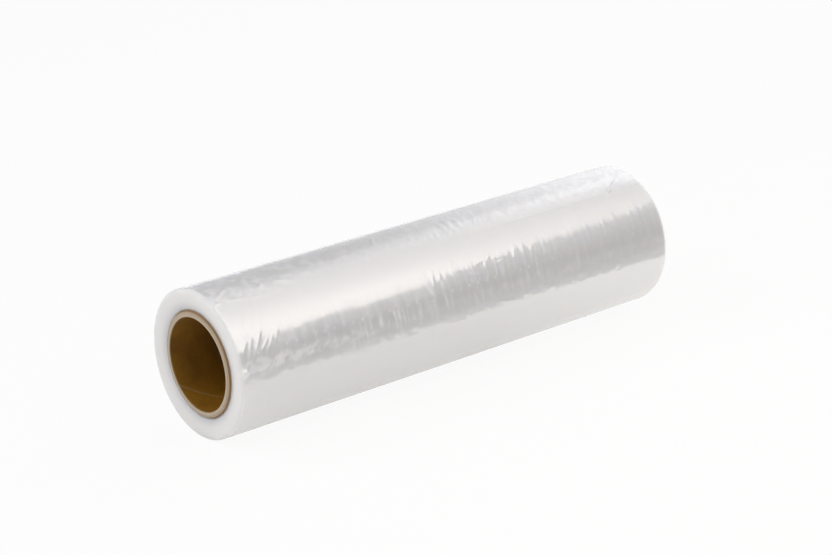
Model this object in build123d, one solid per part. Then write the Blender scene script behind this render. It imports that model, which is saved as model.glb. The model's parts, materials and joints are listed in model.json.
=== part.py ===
from build123d import *
import math
import os

# Roll of perforated food film: one web of thin clear film, wound on a spiral-wound cardboard core.
# It lies on its side along X, with the origin on the floor under its middle. The front is -Y.
# All sizes are in millimetres, and angles are in degrees.

# The cardboard core, a tube with a nominal two inch bore
CORE_BORE = 50.8
CORE_WALL = 3.5
CORE_INSET = 0.5
CORE_RIM_CHAMFER = 0.4

# The wound film. Angles round the roll start at the front and go up over the top.
FILM_WIDTH = 300.0
FILM_BUILD = 11.7
SHOULDER_ROUND = 2.0
END_DISH = 1.4
TURN_STEPS = 4
LOOSE_END_ANGLE = 64.0
LOOSE_END_STEP = 0.15
FLAT_SPOT_WIDTH = 12.0

# The row of perforation across the film, one sheet in from its loose end
SHEET_LENGTH = 226.8
HOLE_PITCH = 6.1
HOLE_WIDTH = 1.6
HOLE_DEPTH = 0.2

# Worked out from the sizes above
bore_radius = CORE_BORE / 2
core_radius = bore_radius + CORE_WALL
core_length = FILM_WIDTH - 2 * CORE_INSET
outer_radius = core_radius + FILM_BUILD
inner_radius = outer_radius - LOOSE_END_STEP / 2
loose_end_turn = Rot(-LOOSE_END_ANGLE, 0, 0)
inner_axis = Pos((loose_end_turn * Pos(0, outer_radius - inner_radius, 0)).position)
axis_height = math.sqrt(inner_radius**2 - (FLAT_SPOT_WIDTH / 2) ** 2) - inner_axis.position.Z


def along_x(radius, length):
    """A round bar along X, centred on the origin."""
    return Rot(0, 90, 0) * Cylinder(radius, length)


def end_steps(radius):
    """Points of one end of the wound film, from the axis out: each pack of turns stands a little
    further out than the one inside it, up to the full width of the film at the shoulder."""
    full_reach = FILM_WIDTH / 2
    pack_width = (radius - SHOULDER_ROUND - core_radius) / (TURN_STEPS + 1)
    points = [(full_reach - END_DISH, 0)]
    for step in range(TURN_STEPS):
        step_radius = core_radius + pack_width * (step + 1)
        points.append((full_reach - END_DISH * (1 - step / TURN_STEPS), step_radius))
        points.append((full_reach - END_DISH * (1 - (step + 1) / TURN_STEPS), step_radius))
    points.append((full_reach, radius))
    return points


def half_roll(radius):
    """The upper half of a roll of this radius, solid to its axis, with rounded shoulders."""
    right_end = end_steps(radius)
    left_end = [(-reach, height) for reach, height in reversed(right_end)]
    section = make_face(Polyline(right_end + left_end, close=True))
    shoulders = section.vertices().group_by(Axis.Y)[-1]
    return revolve(fillet(shoulders, SHOULDER_ROUND), Axis.X, 180)


def wound_film():
    """Two half rolls. The outer half starts at the loose end, which stands proud of the inner half
    there, and on the far side of the roll the two halves meet flush."""
    outer_half = loose_end_turn * half_roll(outer_radius)
    inner_half = inner_axis * loose_end_turn * Rot(180, 0, 0) * half_roll(inner_radius)
    return outer_half + inner_half


def perforation_holes():
    """Shallow six-sided pricks in a row along X, one sheet round the roll from the loose end."""
    prick = extrude(RegularPolygon(HOLE_WIDTH / 2, 6), 2 * HOLE_DEPTH)
    row_angle = LOOSE_END_ANGLE + math.degrees(SHEET_LENGTH / outer_radius)
    row_floor = inner_axis * Rot(90 - row_angle, 0, 0) * Pos(0, 0, inner_radius - HOLE_DEPTH)
    holes_in_row = int((FILM_WIDTH - 2 * SHOULDER_ROUND) // HOLE_PITCH)
    return row_floor * GridLocations(HOLE_PITCH, HOLE_PITCH, holes_in_row, 1) * prick


def film_roll():
    """The wound film, bored for the core, perforated, and flat where its weight rests on the floor."""
    film = wound_film() - along_x(core_radius, 2 * FILM_WIDTH) - perforation_holes()
    below = (Align.CENTER, Align.CENTER, Align.MAX)
    floor = Pos(0, 0, -axis_height) * Box(2 * FILM_WIDTH, 2 * outer_radius, outer_radius, align=below)
    return film - floor


def cardboard_core():
    """The tube that the film is wound on, with the edges of its two cut rims broken."""
    tube = along_x(core_radius, core_length) - along_x(bore_radius, 2 * core_length)
    rim_edges = tube.edges().filter_by(GeomType.CIRCLE)
    return chamfer(rim_edges, CORE_RIM_CHAMFER)


os.makedirs("parts", exist_ok=True)
lift = Pos(0, 0, axis_height)
export_step(lift * film_roll(), "parts/film_roll.step")
export_step(lift * cardboard_core(), "parts/cardboard_core.step")
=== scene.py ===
import json
import math

import bpy
import numpy as np
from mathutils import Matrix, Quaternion, Vector


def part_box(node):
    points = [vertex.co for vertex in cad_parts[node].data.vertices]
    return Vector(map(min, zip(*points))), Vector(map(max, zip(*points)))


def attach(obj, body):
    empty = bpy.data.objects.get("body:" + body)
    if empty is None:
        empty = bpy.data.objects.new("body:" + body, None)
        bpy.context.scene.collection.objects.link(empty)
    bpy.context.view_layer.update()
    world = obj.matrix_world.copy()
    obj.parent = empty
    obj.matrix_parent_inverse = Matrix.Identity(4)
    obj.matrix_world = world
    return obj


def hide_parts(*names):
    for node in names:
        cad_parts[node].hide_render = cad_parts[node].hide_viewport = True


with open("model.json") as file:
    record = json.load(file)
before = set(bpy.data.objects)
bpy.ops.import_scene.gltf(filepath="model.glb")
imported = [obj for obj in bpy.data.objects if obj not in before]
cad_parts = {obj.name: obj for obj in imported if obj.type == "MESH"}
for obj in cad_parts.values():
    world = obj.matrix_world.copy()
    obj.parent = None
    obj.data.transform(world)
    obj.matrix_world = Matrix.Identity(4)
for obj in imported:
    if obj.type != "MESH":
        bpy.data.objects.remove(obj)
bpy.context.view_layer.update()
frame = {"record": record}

# Cardboard core
# The tube that the film is wound on: strips of brown kraft board, wound in a spiral and glued, then
# sawn to length. It is open at both ends, and the butt joint of its innermost ply shows in the bore.
MM = 0.001
core_low, core_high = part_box("cardboard_core")
bore_mount = next(mount for mount in frame["record"]["mounts"] if mount["name"] == "core_bore")

# Sizes in millimetres, and the start of the seam in degrees
axis_height = bore_mount["pos_m"][2] / MM
bore_radius = bore_mount["dims"]["r_mm"]
core_radius = (core_high.y - core_low.y) / 2 / MM
core_half = (core_high.x - core_low.x) / 2 / MM
RIM_BREAK = 0.35
OUTSIDE_INSET = 2.2
SEAM_LEAD = 179.0
SEAM_START = -136.0
SEAM_DEPTH = 0.22
SEAM_HALF_WIDTH = 0.45
SEAM_REACH = 0.1
KRAFT_FIBRE = 0.6
KRAFT_CLOUD = 11
KRAFT_FIBRE_DEPTH = 0.08

# The sawn rim, by shares of the wall from the bore out: how far the plies stand back in millimetres,
# the glue lines as (place, half width, darkness), and the part of the wall that is worn at each edge
PLY_STEPS = [(0.50, 0), (0.63, 0.35), (0.79, 0.35), (0.92, 1.25)]
GLUE_LINES = [(0.0, 0.04, 1.0), (0.56, 0.05, 0.4), (0.90, 0.15, 1.0)]
WORN_SHARE = 0.1

# The grid: points along the tube and over a rim, and rows in degrees from the seam, close beside it
CORE_COLUMNS = 90
RIM_POINTS = 36
SEAM_ROWS = [-2.4, -1.6, -1.0, -0.5, 0.0, 0.5, 1.0, 1.6, 2.4]
OTHER_ROWS = np.linspace(5, 355, 117)

# Colours, and the marks on the faces as (painted layer, share, colour)
KRAFT_INSIDE = "A07216"
KRAFT_FLECK = "845A0C"
KRAFT_CUT_EDGE = "CABBA6"
KRAFT_GLUE_LINE = "8E6A3A"
KRAFT_MARKS = [("cut_rim", 0.9, KRAFT_CUT_EDGE), ("glue_line", 0.85, KRAFT_GLUE_LINE),
               ("seam", 0.25, KRAFT_CUT_EDGE)]


def linear(hex_colour):
    """An sRGB hex colour as the linear colour that a shader takes."""
    parts = [int(hex_colour[place:place + 2], 16) / 255 for place in (0, 2, 4)]
    return tuple(p / 12.92 if p <= 0.04045 else ((p + 0.055) / 1.055) ** 2.4 for p in parts) + (1.0,)


def add_node(tree, kind, links=None, stops=(), **settings):
    """Adds a node with its settings. Each link fills an input, by name or number, from a plain value
    or from another node's output. The stops are the places and greys of a colour ramp."""
    made = tree.nodes.new("ShaderNode" + kind)
    for name, value in settings.items():
        setattr(made, name, value)
    for name, value in (links or {}).items():
        if isinstance(value, bpy.types.NodeSocket):
            tree.links.new(value, made.inputs[name])
        else:
            made.inputs[name].default_value = value
    for _ in stops[2:]:
        made.color_ramp.elements.new(0.5)
    for number, (place, grey) in enumerate(stops):
        made.color_ramp.elements[number].position = place
        made.color_ramp.elements[number].color = (grey, grey, grey, 1)
    return made


def new_material(name):
    """An empty node material, with its tree and its Principled shader."""
    material = bpy.data.materials.new(name)
    material.use_nodes = True
    return material, material.node_tree, material.node_tree.nodes["Principled BSDF"]


def around_axis(along, radius, angle):
    """Points in the row frame, in millimetres. The angle is 0 at the front, and goes up over the top."""
    return np.stack([along, -radius * np.cos(angle), axis_height + radius * np.sin(angle)], -1)


def ring_mesh(name, points):
    """A closed piece from a grid of points in millimetres that wraps round both ways: along its
    section, and round the roll."""
    stations, turns = points.shape[:2]
    index = np.arange(stations * turns).reshape(stations, turns)
    after = np.roll(index, -1, axis=0)
    corners = [index, np.roll(index, -1, axis=1), np.roll(after, -1, axis=1), after]
    faces = np.stack(corners, -1).reshape(-1, 4)
    mesh = bpy.data.meshes.new(name)
    mesh.from_pydata((points.reshape(-1, 3) * MM).tolist(), [], faces.tolist())
    mesh.shade_smooth()
    piece = bpy.data.objects.new(name, mesh)
    bpy.context.scene.collection.objects.link(piece)
    return piece


def paint(piece, name, values):
    """Stores one number for each point of a piece, for its material to read."""
    layer = piece.data.attributes.new(name, "FLOAT", "POINT")
    layer.data.foreach_set("value", np.ascontiguousarray(values, dtype=np.float32).ravel())


def profile(place, stops):
    """A value that goes smoothly from stop to stop, each given as (place, value), and is level before
    the first and after the last."""
    value = stops[0][1]
    for (start, before), (end, after) in zip(stops, stops[1:]):
        share = np.clip((place - start) / (end - start), 0, 1)
        value = value + (after - before) * share * share * (3 - 2 * share)
    return value


def rim_section(side):
    """One sawn rim from the bore out, as (place along the roll, radius, rim, glue): the inner plies
    stand out further than the outer ones, and a dark glue line shows where each one ends."""
    places = []
    for share in np.linspace(0, 1, RIM_POINTS):
        glue = max(dark * math.exp(-(((share - place) / width) ** 2)) for place, width, dark in GLUE_LINES)
        wear = RIM_BREAK * max(0, 1 - min(share, 1 - share) / WORN_SHARE) ** 2
        along = side * (core_half - profile(share, PLY_STEPS) - wear)
        places.append((along, bore_radius + (core_radius - bore_radius) * share, 1.0, glue))
    return places


def core_section():
    """The tube's section as a closed loop: along the bore, out over the far rim, back, and in over
    the near rim. Each point gives its place, its radius, and how far it is rim and glue line."""
    straight = np.linspace(-1, 1, CORE_COLUMNS)
    bore = [(share * (core_half - 2 * RIM_BREAK), bore_radius, 0.0, 0.0) for share in straight]
    outside = [(share * (core_half - OUTSIDE_INSET), core_radius, 0.0, 1.0) for share in straight[::-1]]
    return np.array(bore + rim_section(1) + outside + rim_section(-1)[::-1])


def build_core():
    """The tube, with its grid twisted along the spiral, so that the seam follows one grid line."""
    from_seam = np.radians(np.concatenate([SEAM_ROWS, OTHER_ROWS]))
    columns = core_section().T
    along, radius, rim, glue = [np.repeat(column[:, None], len(from_seam), axis=1) for column in columns]
    angle = math.radians(SEAM_START) + 2 * math.pi * (along + core_half) / SEAM_LEAD + from_seam
    off_seam = np.angle(np.exp(1j * from_seam)) * bore_radius / SEAM_HALF_WIDTH
    seam = np.exp(-off_seam * off_seam) * (radius < bore_radius + SEAM_REACH)
    piece = ring_mesh("cardboard_core_tube", around_axis(along, radius + SEAM_DEPTH * seam, angle))
    paint(piece, "cut_rim", rim)
    paint(piece, "glue_line", glue)
    paint(piece, "seam", seam)
    return piece


def kraft_board():
    """Kraft board, pressed and uncoated: matt and brown, with short fibres and faint clouds. The sawn
    rim is paler and greyer than the faces, and the seam is a thin pale line with a dark side."""
    material, tree, shader = new_material("kraft_board")
    place = add_node(tree, "TexCoord").outputs["Object"]
    drawn = add_node(tree, "Mapping", {"Vector": place, "Scale": (0.35, 1, 1)}).outputs["Vector"]
    fibre_scale, cloud_scale = 1 / (KRAFT_FIBRE * MM), 1 / (KRAFT_CLOUD * MM)
    short_fibres = {"Vector": drawn, "Scale": fibre_scale, "Detail": 4, "Roughness": 0.65}
    fibres = add_node(tree, "TexNoise", short_fibres)
    clouds = add_node(tree, "TexNoise", {"Vector": place, "Scale": cloud_scale, "Detail": 3})
    mixed = add_node(tree, "Math", {0: fibres.outputs["Fac"], 1: clouds.outputs["Fac"]}, operation="MULTIPLY")
    spread = add_node(tree, "MapRange", {"Value": mixed.outputs[0], "From Min": 0.12, "From Max": 0.42})
    shades = {0: spread.outputs["Result"], 6: linear(KRAFT_FLECK), 7: linear(KRAFT_INSIDE)}
    colour = add_node(tree, "Mix", shades, data_type="RGBA").outputs[2]
    for layer, share, tint in KRAFT_MARKS:
        mark = add_node(tree, "Attribute", attribute_name=layer).outputs["Fac"]
        amount = add_node(tree, "Math", {0: mark, 1: share}, operation="MULTIPLY").outputs[0]
        colour = add_node(tree, "Mix", {0: amount, 6: colour, 7: linear(tint)}, data_type="RGBA").outputs[2]
    bumps = {"Height": fibres.outputs["Fac"], "Strength": 0.35, "Distance": KRAFT_FIBRE_DEPTH * MM}
    tree.links.new(colour, shader.inputs["Base Color"])
    tree.links.new(add_node(tree, "Bump", bumps).outputs["Normal"], shader.inputs["Normal"])
    shader.inputs["Roughness"].default_value = 0.88
    return material


core = build_core()
core.data.materials.append(kraft_board())
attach(core, "root")
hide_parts("cardboard_core")

# Wound film
# One web of thin polyethylene film, blown, slit, perforated across at each sheet and wound tight on the
# core. Its last sheet was torn off at a row of holes, and what is left of it clings, a little crinkled.
film_low, film_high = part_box("film_roll")

# Sizes in millimetres. Angles are in degrees round the roll: 0 at the front, 90 on top.
film_half = (film_high.x - film_low.x) / 2 / MM
film_radius = film_high.z / MM - axis_height
mm_per_degree = film_radius * math.pi / 180
SHOULDER = 2.0
END_DISH = 1.8
DISH_CURVE = 1.2
CORE_GAP = 0.02
LOOSE_END_ANGLE = 64.0
LOOSE_END_STEP = 0.15
TEAR_DEPTH_ANGLE = 0.3
TEAR_SLOPE_ANGLE = 0.4
ROW_ANGLE = 24.0
HOLE_PITCH = 6.1
HOLE_RADIUS = 0.75
HOLE_DEPTH = 0.08
FILM_CLOUD = 17
FINE_CRINKLE = 2.2
FINE_CRINKLE_DEPTH = 0.1
SCATTER_DEPTH = 7

# The grid: points along the outside, round a shoulder and down an end face, and stretches of rows round
# the roll as (from, to, step). Rows past the last angle here lie below the front, at angles under 0.
FILM_COLUMNS = 560
SHOULDER_POINTS = 6
FACE_POINTS = 9
FILM_ROWS = [(-3, 36, 0.9), (36, 108, 1.2), (108, 200, 3.0), (200, 355, 6.0)]
BELOW_FRONT_ANGLE = 300

# Colours of the outside and of the ends, and a greyer colour on the ends close to the core, which is partly
# painted shade where shadow falls round the core and partly the dark core showing through the film
FILM_SIDE = "F3F2F1"
FILM_END = "F7F4F0"
FILM_SHADE_BY_CORE = "DDDDE0"

# In this section a table for profile is named for the way it runs: ALONG in millimetres from the near
# end, ROUND in degrees round the roll, DOWN in millimetres below its outside, and FROM in millimetres
# from the end or the core, or in degrees from the torn edge or the crinkles' border. Noise is (height,
# size of a cell along the roll, size round it, seed), with sizes in millimetres.
RELIEF_ROUND = [(-60, 0), (-25, 1), (235, 1), (300, 0)]
RELIEF_DOWN = [(0.6, 1), (2.0, 0)]
CLING_ALONG = [(150, 0.1), (220, 0.45)]
MILKY_FROM_END = [(0.6, 0.7), (3.2, 0)]
MILKY_DOWN = [(0, 0), (1.6, 0.3)]
FROM_CORE = [(0, 1), (5.5, 0)]
CRINKLE_ROUND = [(66, 0), (74, 1), (180, 1), (230, 0)]

# Folds that can be told apart: start and end as (mm from the near end, degrees round the roll), then
# the half width and the height in millimetres
FOLDS = [
    # Soft ones above the row of holes, at the near end
    ((7, 42), (12, 56), 1.5, 0.10),
    ((12, 40), (20, 58), 1.6, 0.13),
    ((18, 38), (24, 52), 1.4, 0.12),
    # A fan of sharp ones across the row of holes, at the near end
    ((5.0, 16), (9.0, 25), 0.7, 0.12),
    ((4.0, 25.5), (8.0, 33.5), 0.7, 0.28),
    ((7.0, 21), (11.5, 35), 0.6, 0.26),
    ((10.5, 22), (18.0, 38), 0.7, 0.36),
    ((15.0, 23.5), (20.5, 31), 0.65, 0.25),
    ((18.5, 22), (24.5, 33), 0.75, 0.24),
    ((24.0, 27), (28.5, 36), 0.8, 0.12),
    # Slack ones below the row of holes, at the near end
    ((0.3, 12.0), (5.0, 12.4), 1.4, 1.20),
    ((3, 12.2), (14, 12.8), 1.0, 0.20),
    ((12, 11.5), (17, 14.5), 0.8, 0.36),
    ((21.5, 11), (26, 17.5), 0.8, 0.36),
    ((36.5, 11), (38, 18), 0.8, 0.30),
    ((44, 12), (46, 17), 0.8, 0.26),
    ((10, 12.6), (28, 15.0), 1.1, 0.13),
    ((20, 17.5), (36, 15.5), 1.3, 0.10),
    ((30, 14), (58, 16.5), 1.7, 0.10),
    # On the clinging loose end, at the near end
    ((2.5, 68.4), (6, 67.8), 0.9, 0.50),
    ((10, 69.0), (22, 66.5), 0.8, 0.26),
    ((4, 72), (16, 83), 1.3, 0.30),
    ((17, 69), (22, 77), 1.1, 0.26),
    ((31, 70), (36, 78), 1.2, 0.28),
    ((42, 76), (54, 69), 1.1, 0.24),
    # Wide swells and hollows along the roll
    ((-3, 26), (6, 26.5), 3.0, 0.40),
    ((-5, 27), (62, 27), 5.0, 0.10),
    ((58, 38), (140, 38), 6.0, -0.28),
    ((95, 30), (230, 31), 5.0, 0.09),
    ((250, 35), (308, 37), 5.0, 0.10),
    ((205, 44), (285, 44), 6.0, -0.22),
    # Thin ones above the row of holes, in the middle of the roll
    ((129, 25), (132.5, 44), 0.7, 0.08),
    ((134, 33), (137, 40), 0.7, 0.07),
    ((155, 31.5), (168, 27.5), 0.8, 0.09),
    ((157, 25.5), (167, 22.5), 0.8, 0.07),
    ((160, 37), (168, 40), 0.9, 0.06),
    ((165, 31), (174, 45), 1.1, 0.06),
    ((173, 39.5), (186, 36.5), 0.9, 0.06),
    ((175, 33.5), (182, 36), 0.8, 0.06),
    ((187.5, 33), (191, 43), 0.8, 0.07),
    ((200.5, 32), (204, 42), 0.9, 0.06),
    # On the clinging loose end, from the middle to the far end
    ((112, 82), (117, 94), 1.0, 0.10),
    ((149, 67), (151, 76), 1.3, 0.08),
    ((157, 68), (158.5, 90), 1.3, 0.09),
    ((162, 67), (164, 90), 1.4, 0.10),
    ((168, 69), (170, 91), 1.4, 0.08),
    ((223, 72), (228, 84), 1.2, 0.05),
    ((240, 71), (247, 84), 1.6, 0.07),
    ((252, 72), (272, 85), 1.7, 0.12),
    ((258, 69), (284, 85), 2.0, 0.11),
    ((270, 62.3), (286, 73.6), 1.0, 0.52),
    ((282, 70.6), (294, 82), 1.0, 0.12),
    ((284, 65.5), (298, 71), 1.0, 0.12),
    # Low on the front, in the middle of the roll
    ((136, -0.8), (149, -1.4), 0.9, 0.13),
    ((103, -0.8), (113, -0.2), 0.9, 0.12),
    ((172, 5), (184, 0.5), 0.9, 0.12),
    ((190, 5), (198, 0), 0.8, 0.08),
]

# How a fold fades, by shares of its length, and the lattice that noise is read from, in cells
FOLD_FADE = [(-0.15, 0), (0.3, 1), (0.7, 1), (1.15, 0)]
NOISE_CELLS = 97
NOISE_START = 40


def soft_noise(across, round_mm, height, cell_across, cell_round, seed):
    """Smooth noise between minus and plus the height, on the unrolled film: a lattice of random numbers,
    one at each corner of a cell, blended inside the cells."""
    lattice = np.random.default_rng(seed).uniform(-1, 1, (NOISE_CELLS, NOISE_CELLS))
    u, v = across / cell_across + NOISE_START, round_mm / cell_round + NOISE_START
    i, j = np.floor(u).astype(int), np.floor(v).astype(int)
    fu, fv = u - i, v - j
    fu, fv = fu * fu * (3 - 2 * fu), fv * fv * (3 - 2 * fv)
    i, j, next_i, next_j = [corner % NOISE_CELLS for corner in (i, j, i + 1, j + 1)]
    near = lattice[i, j] * (1 - fv) + lattice[i, next_j] * fv
    far = lattice[next_i, j] * (1 - fv) + lattice[next_i, next_j] * fv
    return height * (near * (1 - fu) + far * fu)


def ridges(across, round_mm, height, cell_across, cell_round, seed):
    """Thin crooked ridges of that height, where smooth noise passes through nought."""
    return height * (1 - np.abs(soft_noise(across, round_mm, 1, cell_across, cell_round, seed))) ** 2


def fold(across, angle, start, end, width, height):
    """A straight crease as a low rounded ridge that fades at both ends."""
    ax, ay = start[0], start[1] * mm_per_degree
    bx, by = end[0], end[1] * mm_per_degree
    length = math.hypot(bx - ax, by - ay)
    ux, uy = (bx - ax) / length, (by - ay) / length
    dx, dy = across - ax, angle * mm_per_degree - ay
    run = (dx * ux + dy * uy) / length
    off = (dy * ux - dx * uy) / width
    return height * np.exp(-off * off) * profile(run, FOLD_FADE)


def hole_places():
    """Places of the holes along the roll, in millimetres from its near end."""
    width = 2 * film_half
    count = int((width - 2 * SHOULDER) // HOLE_PITCH)
    return width / 2 + (np.arange(count) - (count - 1) / 2) * HOLE_PITCH


# Creases that spring from the holes, down towards the front and up towards the top. The pairs are ranges
# of chance. Heights are for a crease 1 mm wide, reaches are in degrees, and a lean is a slope.
CREASE_SEED = 7
CREASES_PER_HOLE = 3
CREASE_OFFSET = (-2.6, 2.6)
CREASE_WIDTH = (0.45, 1.2)
DOWN_SHARE = (0.2, 1)
UP_SHARE = (0.3, 1)
DOWN_REACH = (11, 21)
UP_REACH = (9, 14)
DOWN_LEAN = (-0.07, 0.05)
UP_LEAN_SHARE = (0.7, 1.3)
HOLE_SHARE = (0.25, 1.0)
DOWN_HEIGHT = 0.09
UP_HEIGHT = 0.11
SOFT_CREASE = 0.35
PULL_DOWN_ALONG = [(42, 0.22), (95, 0.82), (148, 0.30), (215, 0.30), (250, 0.10)]
PULL_UP_ALONG = [(122, 0.12), (140, 0.46), (205, 0.46), (245, 0.26)]
LEAN_UP_ALONG = [(140, 0.03), (190, 0.25), (205, 0.25), (235, 0.13)]
MORE_REACH_ALONG = [(118, 0), (135, 4.5)]
SHARP_GLINT_ALONG = [(122, 0), (140, 1.1), (205, 1.1), (235, 0.44)]
SOFT_GLINT_ALONG = [(122, 3.6), (140, 0)]
HOLES_ALONG = [(190, 1), (230, 0.4)]

# How the creases start and fade, in degrees from the row and from the end of their reach
BELOW_ROW = [(-3, 1), (1, 0)]
ABOVE_ROW = [(-1, 0), (3, 1)]
DOWN_FADE = [(-3, 0), (6, 1)]
UP_FADE = [(-4, 1), (8, 0)]

# Patches along the creases, and film that is slack and lumpy below the row and lifts at the near end
HOLE_SLANT = (0.5, 0.4)
PATCHES_LEVEL = 0.6
CREASE_PATCHES = (0.6, 2.5, 4.0, 31)
SLACK_LEVEL = 0.58
SLACK_LUMPS = (0.75, 3.4, 2.2, 34)
SLACK_SMALL_LUMPS = (0.45, 1.9, 1.5, 35)
SLACK_WANDER = (1.8, 5, 1, 36)
SLACK_ROUND = [(8, 0), (12.5, 1), (15, 1), (21, 0)]
SLACK_ALONG = [(30, 1), (120, 0.12)]
NEAR_LIFT_ROUND = [(2, 0), (8, 1), (30, 1), (36, 0)]
NEAR_LIFT_ALONG = [(4, 0.33), (55, 0)]


def hole_creases(across, angle):
    """The row of holes, and the creases round the roll that spring from it, where the film was pulled.
    The first result is their height, the second is how far the outer layer lifts off there."""
    chance = np.random.default_rng(CREASE_SEED)
    height = np.zeros_like(across)
    lifted = np.zeros_like(across)
    round_mm = angle * mm_per_degree
    from_row = angle - ROW_ANGLE
    below_row, above_row = profile(from_row, BELOW_ROW), profile(from_row, ABOVE_ROW)
    slant_a, slant_b = across + HOLE_SLANT[0] * round_mm, round_mm - HOLE_SLANT[1] * across
    patchy = PATCHES_LEVEL + soft_noise(slant_a, slant_b, *CREASE_PATCHES)
    for hole in hole_places():
        for _ in range(CREASES_PER_HOLE):
            place = hole + chance.uniform(*CREASE_OFFSET)
            width = chance.uniform(*CREASE_WIDTH)
            down = profile(hole, PULL_DOWN_ALONG) * chance.uniform(*DOWN_SHARE)
            up = profile(hole, PULL_UP_ALONG) * chance.uniform(*UP_SHARE)
            reach_down = chance.uniform(*DOWN_REACH)
            reach_up = chance.uniform(*UP_REACH) + profile(hole, MORE_REACH_ALONG)
            lean_down = chance.uniform(*DOWN_LEAN)
            lean_up = profile(hole, LEAN_UP_ALONG) * chance.uniform(*UP_LEAN_SHARE)
            lean = lean_down * below_row + lean_up * above_row
            off = (across - place - lean * from_row * mm_per_degree) / width
            crease, soft_crease = np.exp(-off * off), np.exp(-SOFT_CREASE * off * off)
            below = down * below_row * profile(from_row + reach_down, DOWN_FADE)
            above = up * above_row * profile(from_row - reach_up, UP_FADE)
            glint = profile(hole, SHARP_GLINT_ALONG) * crease + profile(hole, SOFT_GLINT_ALONG) * soft_crease
            height += (DOWN_HEIGHT * below + UP_HEIGHT * above) * width * crease
            lifted += patchy * (below * crease + above * glint)
        away = np.hypot(across - hole, from_row * mm_per_degree) / HOLE_RADIUS
        prick = chance.uniform(*HOLE_SHARE) * profile(hole, HOLES_ALONG) * np.exp(-away * away)
        height -= HOLE_DEPTH * prick
        lifted += prick
    wander = angle + soft_noise(across, 0 * angle, *SLACK_WANDER)
    lumps = soft_noise(slant_a, slant_b, *SLACK_LUMPS) + soft_noise(across, slant_b, *SLACK_SMALL_LUMPS)
    lifted += profile(wander, SLACK_ROUND) * profile(across, SLACK_ALONG) * (SLACK_LEVEL + lumps)
    lifted += profile(angle, NEAR_LIFT_ROUND) * profile(across, NEAR_LIFT_ALONG)
    return height, np.clip(lifted, 0, 1)


# The torn edge: its free lip in degrees from the loose end, and the bumps beside it, with their half
# sizes along and round the roll, and ranges of chance for how tall they are and where they stand
FREE_ALONG = [(140, 0), (220, 1)]
LIP_ALONG = [(140, 0), (220, 0.45), (264, 0.45), (274, 0)]
LIP_FROM_EDGE = [(-0.1, 0), (0.3, 1), (4, 1), (10, 0)]
BUMP_SEED = 8
BUMP_TALL = (-0.5, 1.0)
BUMP_OFFSET = (-1, 1)
BUMP_ABOVE_EDGE = 1.3
BUMP_SIZE = (1.2, 0.8)
BUMP_HEIGHT = 0.06
BUMP_LIFT = 0.6


def torn_edge(across, angle):
    """The strip along the loose end, which lifts a little towards the far end, with small bumps where
    the tear went through the holes. The results are as for the creases."""
    chance = np.random.default_rng(BUMP_SEED)
    from_edge = angle - LOOSE_END_ANGLE
    height = np.zeros_like(across)
    lifted = profile(across, LIP_ALONG) * profile(from_edge, LIP_FROM_EDGE)
    for hole in hole_places():
        tall = max(0.0, chance.uniform(*BUMP_TALL))
        away_across = (across - hole - chance.uniform(*BUMP_OFFSET)) / BUMP_SIZE[0]
        away = np.hypot(away_across, (from_edge - BUMP_ABOVE_EDGE) * mm_per_degree / BUMP_SIZE[1])
        bump = tall * profile(across, FREE_ALONG) * np.exp(-away * away)
        height += BUMP_HEIGHT * bump
        lifted += BUMP_LIFT * bump
    return height, lifted


# Crinkles above the torn edge: where they begin in degrees from the edge, how strong they are, and four
# kinds of ridge. The coarse ones give way to broad ones behind the top, and the small ones end there.
BORDER_ALONG = [(25, 3.0), (70, 4.5)]
BORDER_WANDER_ALONG = [(25, 4.5), (70, 2.5)]
BORDER_WANDER = (1, 9, 40, 14)
FROM_BORDER = [(-3, 0), (5, 1)]
FADE_ROUND = [(130, 1), (220, 0)]
STRENGTH_ALONG = [(30, 1.25), (100, 0.65), (150, 0.65), (225, 0.45)]
CRINKLE_SLANT = (0.8, 0.6)
COUNTER_SLANT = 0.7
COARSE = (0.13, 4.5, 11.0, 11)
COARSE_ALONG = [(100, 0.35), (160, 1)]
COARSE_ROUND = [(98, 1), (118, 0.3)]
BROAD = (0.11, 9.0, 16.0, 17)
BROAD_ROUND = [(98, 0), (118, 1)]
CROSS = (0.03, 2.8, 7.0, 12)
CROSS_ALONG = [(25, 3), (70, 1)]
FINE = (0.05, 2.2, 5.0, 13)
FINE_ALONG = [(25, 1.4), (70, 1)]
SMALL_ROUND = [(98, 1), (118, 0)]

# Patches of the crinkled film that lift off, where two kinds of noise add up to enough
LONG_PATCHES = (1, 2.6, 6.0, 15)
ROUND_PATCHES = (1, 3.5, 3.2, 16)
PATCH_LEVEL = [(-0.5, 0), (1.1, 1)]
PATCH_LIFT_ALONG = [(40, 0.5), (100, 0.25)]


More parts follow.
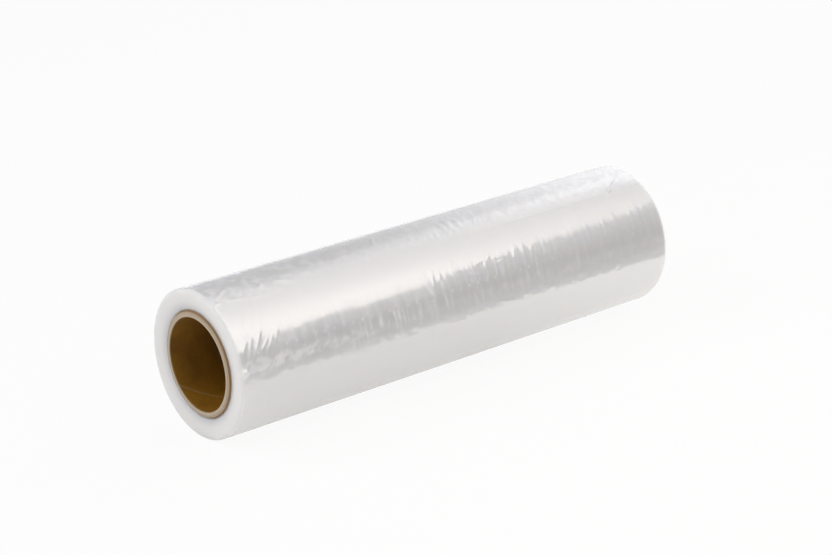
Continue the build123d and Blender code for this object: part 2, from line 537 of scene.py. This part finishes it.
def crinkles(across, angle):
    """Small random creases of the clinging loose end, above its torn edge and over to the back. The
    results are as for the creases."""
    round_mm = angle * mm_per_degree
    wander = profile(across, BORDER_WANDER_ALONG) * soft_noise(across, round_mm, *BORDER_WANDER)
    border = LOOSE_END_ANGLE + profile(across, BORDER_ALONG) + wander
    zone = profile(angle - border, FROM_BORDER) * profile(angle, FADE_ROUND)
    cosine, sine = CRINKLE_SLANT
    slant_a, slant_b = cosine * across - sine * round_mm, sine * across + cosine * round_mm
    counter_a, counter_b = COUNTER_SLANT * (across + round_mm), COUNTER_SLANT * (round_mm - across)
    long_share = profile(across, COARSE_ALONG)
    coarse = long_share * profile(angle, COARSE_ROUND) * ridges(slant_a, slant_b, *COARSE)
    broad = profile(angle, BROAD_ROUND) * ridges(slant_a, slant_b, *BROAD)
    cross = profile(across, CROSS_ALONG) * ridges(counter_a, counter_b, *CROSS)
    fine = profile(across, FINE_ALONG) * ridges(slant_a, slant_b, *FINE)
    small = profile(angle, SMALL_ROUND) * (cross + fine)
    height = zone * profile(across, STRENGTH_ALONG) * (coarse + broad + small)
    patches = long_share * soft_noise(slant_a, slant_b, *LONG_PATCHES)
    patches += soft_noise(across, round_mm, *ROUND_PATCHES)
    return height, profile(across, PATCH_LIFT_ALONG) * zone * profile(patches, PATCH_LEVEL)


# Slow waves: long and short ones all over, lumps in the dark band, teeth at its lower edge, a comb of
# fine lines at its upper edge, and bands round the roll, which don't change round it
LONG_WAVES = (0.05, 34, 30, 21)
SHORT_WAVES = (0.016, 11, 14, 22)
WAVES_ROUND = [(-4, 0.3), (6, 1), (160, 1), (215, 0.3)]
LUMPS = (0.055, 7, 5, 23)
LUMPS_ALONG = [(40, 1), (140, 0.2)]
LUMPS_ROUND = [(-4, 0), (4, 1), (27, 1), (36, 0)]
TEETH = (0.10, 2.1, 3.6, 24)
TEETH_SLANT = (0.4, 0.3)
TEETH_ROUND = [(-4, 0), (1, 1), (6, 1), (12, 0)]
COMB = (0.012, 1.8, 10, 27)
COMB_ALONG = [(95, 0), (120, 0.5), (165, 0.5), (195, 1)]
COMB_ROUND = [(26, 0), (34, 1), (44, 1), (54, 0)]
NARROW_BANDS = (0.012, 3.5, 1, 25)
WIDE_BANDS = (0.02, 8, 1, 26)


def slow_waves(across, angle):
    """Slow waves of the wound surface, which bend what it mirrors."""
    round_mm = angle * mm_per_degree
    lean_a, lean_b = across + TEETH_SLANT[0] * round_mm, round_mm - TEETH_SLANT[1] * across
    waves = soft_noise(across, round_mm, *LONG_WAVES) + soft_noise(across, round_mm, *SHORT_WAVES)
    lumps = profile(across, LUMPS_ALONG) * soft_noise(across, round_mm, *LUMPS)
    teeth = profile(angle, TEETH_ROUND) * soft_noise(lean_a, lean_b, *TEETH)
    comb = profile(angle, COMB_ROUND) * profile(across, COMB_ALONG) * soft_noise(across, round_mm, *COMB)
    bands = soft_noise(across, 0 * angle, *NARROW_BANDS) + soft_noise(across, 0 * angle, *WIDE_BANDS)
    return profile(angle, WAVES_ROUND) * waves + profile(angle, LUMPS_ROUND) * lumps + teeth + comb + bands


def film_angles():
    """Rows of the film's grid round the roll, in degrees: close on the front and the top, where the
    film is creased, and a pair of rows for the torn edge."""
    rows = np.concatenate([np.arange(*stretch) for stretch in FILM_ROWS])
    rows = rows[np.abs(rows - LOOSE_END_ANGLE) > 2 * TEAR_SLOPE_ANGLE]
    edge = [LOOSE_END_ANGLE - TEAR_SLOPE_ANGLE, LOOSE_END_ANGLE + TEAR_SLOPE_ANGLE]
    return np.sort(np.concatenate([rows, edge]))


def film_end(side):
    """One end of the film as (place along the roll, radius), from the shoulder in to the core."""
    places = []
    for bend in np.radians(np.linspace(0, 90, SHOULDER_POINTS))[1:]:
        inset = SHOULDER * (1 - math.sin(bend))
        places.append((side * (film_half - inset), film_radius - SHOULDER * (1 - math.cos(bend))))
    outer, inner = film_radius - SHOULDER, core_radius + CORE_GAP
    for radius in np.linspace(outer, inner, FACE_POINTS)[1:]:
        inset = END_DISH * ((outer - radius) / (outer - inner)) ** DISH_CURVE
        places.append((side * (film_half - inset), radius))
    return places


def build_film():
    """The whole roll as one closed piece: the creased outside, both ends, and the bore on the core."""
    degrees = film_angles()
    straight = film_half - SHOULDER
    outside = [(along, film_radius) for along in np.linspace(-straight, straight, FILM_COLUMNS)]
    columns = np.array(outside + film_end(1) + film_end(-1)[::-1]).T
    along, radius = [np.repeat(column[:, None], len(degrees), axis=1) for column in columns]
    angle = np.repeat(degrees[None, :], len(along), axis=0)
    across = along + film_half
    down = film_radius - radius
    tear = TEAR_DEPTH_ANGLE * np.abs((across / HOLE_PITCH) % 1 * 2 - 1)
    angle = np.where(np.abs(angle - LOOSE_END_ANGLE) < 2 * TEAR_SLOPE_ANGLE, angle + tear, angle)
    seen_angle = np.where(angle > BELOW_FRONT_ANGLE, angle - 360, angle)
    creased, lifted_by_holes = hole_creases(across, seen_angle)
    torn, lifted_by_tear = torn_edge(across, seen_angle)
    crinkled, lifted_by_crinkles = crinkles(across, seen_angle)
    relief = creased + torn + crinkled + slow_waves(across, seen_angle)
    for crease in FOLDS:
        relief += fold(across, seen_angle, *crease)
    relief *= profile(seen_angle, RELIEF_ROUND)
    spiral = LOOSE_END_STEP * profile(across, CLING_ALONG) * ((angle - LOOSE_END_ANGLE - tear) % 360) / 360
    points = around_axis(along, radius + (relief - spiral) * profile(down, RELIEF_DOWN), np.radians(angle))
    points[..., 2] = np.maximum(points[..., 2], 0)
    piece = ring_mesh("wound_film", points)
    from_end = np.minimum(across, 2 * film_half - across)
    paint(piece, "milky_end", profile(from_end, MILKY_FROM_END) + profile(down, MILKY_DOWN))
    paint(piece, "crinkle", profile(seen_angle, CRINKLE_ROUND))
    paint(piece, "lifted", np.clip(lifted_by_holes + lifted_by_tear + lifted_by_crinkles, 0, 1))
    # Painted shade: how close a point lies to the core, where the ends are painted greyer for the shadow
    # round it
    paint(piece, "shade_by_core", profile(radius - core_radius, FROM_CORE))
    return piece


def food_film():
    """Polyethylene film in many tight layers: each layer mirrors a little light, and together they
    give a soft silvery gloss over white, less of it where the outer layer lifts off. Light also travels
    inside the layers, and at the ends their edges scatter it, so that the film is milky there."""
    material, tree, shader = new_material("wound_polyethylene_film")
    place = add_node(tree, "TexCoord").outputs["Object"]
    end = add_node(tree, "Attribute", attribute_name="milky_end").outputs["Fac"]
    crinkle = add_node(tree, "Attribute", attribute_name="crinkle").outputs["Fac"]
    lifted = add_node(tree, "Attribute", attribute_name="lifted").outputs["Fac"]
    # The ends are painted greyer close to the core: partly painted shade, partly the dark core showing
    # through the film
    shade_by_core = add_node(tree, "Attribute", attribute_name="shade_by_core").outputs["Fac"]
    end_shades = {0: shade_by_core, 6: linear(FILM_END), 7: linear(FILM_SHADE_BY_CORE)}
    end_colour_and_shade = add_node(tree, "Mix", end_shades, data_type="RGBA")
    tint = add_node(tree, "Mix", {0: end, 6: linear(FILM_SIDE), 7: end_colour_and_shade.outputs[2]}, data_type="RGBA")
    gloss = add_node(tree, "MapRange", {"Value": lifted, "To Min": 0.34, "To Max": 0.102})
    gloss_end = add_node(tree, "Mix", {0: end, 2: gloss.outputs["Result"], 3: 0.0}, data_type="FLOAT")
    clouds = add_node(tree, "TexNoise", {"Vector": place, "Scale": 1 / (FILM_CLOUD * MM), "Detail": 3})
    rough = add_node(tree, "MapRange", {"Value": clouds.outputs["Fac"], "To Min": 0.11, "To Max": 0.16})
    rough_end = add_node(tree, "Mix", {0: end, 2: rough.outputs["Result"], 3: 0.5}, data_type="FLOAT")
    fine_scale = 1 / (FINE_CRINKLE * MM)
    fine = add_node(tree, "TexNoise", {"Vector": place, "Scale": fine_scale, "Detail": 3, "Roughness": 0.6})
    depth = add_node(tree, "Math", {0: crinkle, 1: fine.outputs["Fac"]}, operation="MULTIPLY")
    bumps = {"Height": depth.outputs[0], "Strength": 0.25, "Distance": FINE_CRINKLE_DEPTH * MM}
    tree.links.new(tint.outputs[2], shader.inputs["Base Color"])
    tree.links.new(gloss_end.outputs[0], shader.inputs["Metallic"])
    tree.links.new(rough_end.outputs[0], shader.inputs["Roughness"])
    tree.links.new(add_node(tree, "Bump", bumps).outputs["Normal"], shader.inputs["Normal"])
    shader.inputs["IOR"].default_value = 1.5
    shader.inputs["Subsurface Weight"].default_value = 0.8
    shader.inputs["Subsurface Radius"].default_value = (0.85, 0.92, 1.0)
    shader.inputs["Subsurface Scale"].default_value = SCATTER_DEPTH * MM
    return material


film = build_film()
film.data.materials.append(food_film())
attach(film, "root")
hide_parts("film_roll")

# Floor
# A large pale sheet of matt board that the roll lies on, 8 m wide. It is lit from behind for the eye and
# for mirror images, and keeps a faint shadow.
FLOOR_HALF = 4.0
FLOOR_COLOUR = "F4F3F0"
FLOOR_GLOW = 0.91
FLOOR_CORNERS = [(-FLOOR_HALF, -FLOOR_HALF, 0), (FLOOR_HALF, -FLOOR_HALF, 0),
                 (FLOOR_HALF, FLOOR_HALF, 0), (-FLOOR_HALF, FLOOR_HALF, 0)]


def flat_card(name, corners, material):
    """A flat card of the stage through those corners."""
    mesh = bpy.data.meshes.new(name)
    mesh.from_pydata(corners, [], [tuple(range(len(corners)))])
    mesh.materials.append(material)
    card = bpy.data.objects.new(name, mesh)
    bpy.context.scene.collection.objects.link(card)
    return card


floor_board, floor_tree, floor_shader = new_material("matt_floor_board")
floor_shader.inputs["Base Color"].default_value = linear(FLOOR_COLOUR)
floor_shader.inputs["Roughness"].default_value = 0.9
ray = add_node(floor_tree, "LightPath").outputs
seen = ray["Is Camera Ray"]
for other_ray in ("Is Glossy Ray", "Is Transmission Ray"):
    seen = add_node(floor_tree, "Math", {0: seen, 1: ray[other_ray]}, operation="MAXIMUM").outputs[0]
backlit = add_node(floor_tree, "Math", {0: seen, 1: FLOOR_GLOW}, operation="MULTIPLY")
glow = add_node(floor_tree, "Emission", {"Color": (1, 1, 1, 1), "Strength": 1.0})
floor_parts = {0: backlit.outputs[0], 1: floor_shader.outputs[0], 2: glow.outputs[0]}
floor_mix = add_node(floor_tree, "MixShader", floor_parts)
floor_tree.links.new(floor_mix.outputs[0], floor_tree.nodes["Material Output"].inputs["Surface"])
flat_card("floor", FLOOR_CORNERS, floor_board)

# Studio light
# A warm softbox overhead, a cool window to the right behind, and two fill panels without a mirror image.
# A grey flag and a mat in front and a dark cloth behind are glowing cards that show in mirror images only, as
# the film's bands: their glow is a painted reflection of a lit and shaded room.
WARM_LIGHT = "FFF9F1"
COOL_LIGHT = "F9FAFF"
ROOM_COLOUR = "A1A2A5"

# Sizes and places in metres, angles in degrees, and shades as (share of the way, radiance)
SOFTBOX_EDGE_START = Vector((0.585, -0.982, 0.8))
SOFTBOX_EDGE_WAY = Vector((0.465, 0.885, 0))
SOFTBOX_INWARD = Vector((-0.885, 0.465, 0))
SOFTBOX_SPAN = (-0.30, 1.20)
SOFTBOX_DEPTH = 1.05
SOFTBOX_SHADES = [(0.0, 1.10), (0.42, 1.10), (0.55, 0.82), (0.63, 0.63), (0.72, 0.49), (0.80, 0.40),
                  (0.87, 0.29), (1.0, 0.10)]
SOFTBOX_RISE = [(0.0, 1.0), (1.0, 1.0)]
WINDOW_DIRECTION = (112.25, 19.44)
WINDOW_DISTANCE = 1.5
WINDOW_LEAN = 31.0
WINDOW_SIZE = (1.60, 1.69)
WINDOW_SHADES = [(0.0, 1.02), (0.74, 1.02), (0.77, 0.98), (0.81, 0.72), (0.86, 0.45), (0.93, 0.25),
                 (1.0, 0.05)]
WINDOW_RISE = [(0.0, 0.25), (0.14, 0.72), (0.32, 1.12), (0.55, 1.06), (0.74, 0.84), (0.91, 0.25),
               (1.0, 0.13)]

# Fill panels as (name, place, spot that it faces, radiance), all of one size
roll_middle = Vector((0, 0, axis_height * MM))
near_end = Vector((-film_half * MM, 0, axis_height * MM))
FILL_SIZE = (1.2, 1.0)
FILL_PANELS = [("front_fill", Vector((0.3, -1.45, 0.55)), roll_middle, 0.68),
               ("end_fill", Vector((-1.1, 0.45, 1.1)), near_end, 2.58)]

# Cards with their corners, and with their glow along one axis between two places, which is a painted
# reflection
FLAG_CORNERS = [(-1.2, -0.362, 0.001), (0.9, 0.033, 0.001), (1.35, 0.47, 0.8), (-0.3, -2.65, 0.8)]
FLAG_SPAN = ("Z", 0.0, 0.8)
FLAG_SHADES = [(0.0, 0.5), (0.012, 0.3), (0.03, 0.15), (0.07, 0.11), (0.11, 0.03), (0.20, 0.03), (0.6, 0.22),
               (1.0, 0.42)]
MAT_TINT = "FFFEFC"
MAT_CORNERS = [(-1.2, -0.6, 0.0006), (0.9, -0.2, 0.0006), (0.9, 0.0, 0.0006), (-1.2, 0.0, 0.0006)]
MAT_SPAN = ("X", -0.15, 0.3)
MAT_SHADES = [(0.0, 0.71), (0.4, 0.76), (0.65, 0.95), (1.0, 1.05)]
CLOTH_CORNERS = [(-2.5, 1.8, 0.0), (2.5, 1.8, 0.0), (2.5, 1.8, 2.0), (-2.5, 1.8, 2.0)]
CLOTH_SPAN = ("Z", 0.0, 2.0)
CLOTH_SHADES = [(0.0, 0.6), (0.17, 0.42), (0.27, 0.31), (0.37, 0.24), (0.57, 0.18), (1.0, 0.2)]


def area_light(name, tint, place, size, radiance, rotation):
    """A rectangular lamp of that tint that shines evenly, with its strength given as radiance."""
    lamp = bpy.data.lights.new(name, "AREA")
    lamp.shape = "RECTANGLE"
    lamp.color = linear(tint)[:3]
    lamp.size, lamp.size_y = size
    lamp.energy = radiance * math.pi * size[0] * size[1]
    light = bpy.data.objects.new(name, lamp)
    light.location = place
    light.rotation_euler = rotation
    light.visible_camera = False
    bpy.context.scene.collection.objects.link(light)
    return light


def shade_lamp(light, shades, rise):
    """Makes a lamp fade along its first side, with the given radiances, and along its second side, with
    the given shares of them."""
    light.data.use_nodes = True
    tree = light.data.node_tree
    place = add_node(tree, "NewGeometry").outputs["Parametric"]
    share = add_node(tree, "SeparateXYZ", {"Vector": place}).outputs
    across = add_node(tree, "ValToRGB", {"Fac": share["X"]}, shades).outputs["Color"]
    up = add_node(tree, "ValToRGB", {"Fac": share["Y"]}, rise).outputs["Color"]
    strength = add_node(tree, "Math", {0: across, 1: up}, operation="MULTIPLY")
    tree.links.new(strength.outputs[0], tree.nodes["Emission"].inputs["Strength"])


def mirror_card(name, tint, corners, shades, axis, low, high):
    """A glowing card that shows in mirror images only and lights nothing: its glow, which changes along one
    axis between two places, is a painted reflection of a lit and shaded room."""
    material, tree, shader = new_material("glowing_card_" + name)
    place = add_node(tree, "TexCoord").outputs["Object"]
    level = add_node(tree, "SeparateXYZ", {"Vector": place}).outputs[axis]
    share = add_node(tree, "MapRange", {"Value": level, "From Min": low, "From Max": high}).outputs["Result"]
    grey = add_node(tree, "ValToRGB", {"Fac": share}, shades).outputs["Color"]
    # Painted reflection: the grey is the card's glow, not the colour of a cloth
    tree.links.new(grey, shader.inputs["Emission Strength"])
    shader.inputs["Emission Color"].default_value = linear(tint)
    shader.inputs["Base Color"].default_value = (0, 0, 0, 1)
    shader.inputs["Specular IOR Level"].default_value = 0
    card = flat_card(name, corners, material)
    card.visible_camera = False
    card.visible_diffuse = False
    card.visible_transmission = False
    card.visible_shadow = False


softbox_size = (SOFTBOX_SPAN[1] - SOFTBOX_SPAN[0], SOFTBOX_DEPTH)
softbox_edge_middle = SOFTBOX_EDGE_START + SOFTBOX_EDGE_WAY * (sum(SOFTBOX_SPAN) / 2)
softbox_middle = softbox_edge_middle + SOFTBOX_INWARD * SOFTBOX_DEPTH / 2
softbox_turn = (0, 0, math.atan2(SOFTBOX_EDGE_WAY.y, SOFTBOX_EDGE_WAY.x))
softbox = area_light("overhead_softbox", WARM_LIGHT, softbox_middle, softbox_size, 1.0, softbox_turn)
shade_lamp(softbox, SOFTBOX_SHADES, SOFTBOX_RISE)

window_azimuth, window_elevation = [math.radians(angle) for angle in WINDOW_DIRECTION]
window_way = Vector((math.sin(window_azimuth) * math.cos(window_elevation),
                     -math.cos(window_azimuth) * math.cos(window_elevation), math.sin(window_elevation)))
window_place = roll_middle + window_way * WINDOW_DISTANCE
window_turn = (-window_way).to_track_quat("-Z", "Y") @ Quaternion((0, 0, 1), math.radians(WINDOW_LEAN))
window = area_light("back_window", COOL_LIGHT, window_place, WINDOW_SIZE, 1.0, window_turn.to_euler())
shade_lamp(window, WINDOW_SHADES, WINDOW_RISE)

for fill_name, fill_place, lit_spot, fill_radiance in FILL_PANELS:
    fill_turn = (lit_spot - fill_place).to_track_quat("-Z", "Y").to_euler()
    fill = area_light(fill_name, COOL_LIGHT, fill_place, FILL_SIZE, fill_radiance, fill_turn)
    fill.visible_glossy = False

mirror_card("front_flag", COOL_LIGHT, FLAG_CORNERS, FLAG_SHADES, *FLAG_SPAN)
mirror_card("front_mat", MAT_TINT, MAT_CORNERS, MAT_SHADES, *MAT_SPAN)
mirror_card("back_cloth", COOL_LIGHT, CLOTH_CORNERS, CLOTH_SHADES, *CLOTH_SPAN)

room = bpy.data.worlds.new("studio_room")
room.use_nodes = True
room.node_tree.nodes["Background"].inputs["Color"].default_value = linear(ROOM_COLOUR)
bpy.context.scene.world = room

# Camera
# It stands to the left in front of the roll and looks down on it, with a long lens, as in the photograph.
# Its place is in metres, and its angles are in degrees.
CAMERA_PLACE = (-0.7537, -0.9179, 0.5340)
CAMERA_ELEVATION = 22.16
CAMERA_AZIMUTH = -39.24
LENS_MM = 100.8
SENSOR_MM = 36.0
camera = bpy.data.objects.new("camera", bpy.data.cameras.new("camera"))
camera.location = CAMERA_PLACE
camera.rotation_euler = (math.radians(90 - CAMERA_ELEVATION), 0, math.radians(CAMERA_AZIMUTH))
camera.data.sensor_width = SENSOR_MM
camera.data.lens = LENS_MM
bpy.context.scene.collection.objects.link(camera)
bpy.context.scene.camera = camera
bpy.context.scene.view_settings.view_transform = "Standard"
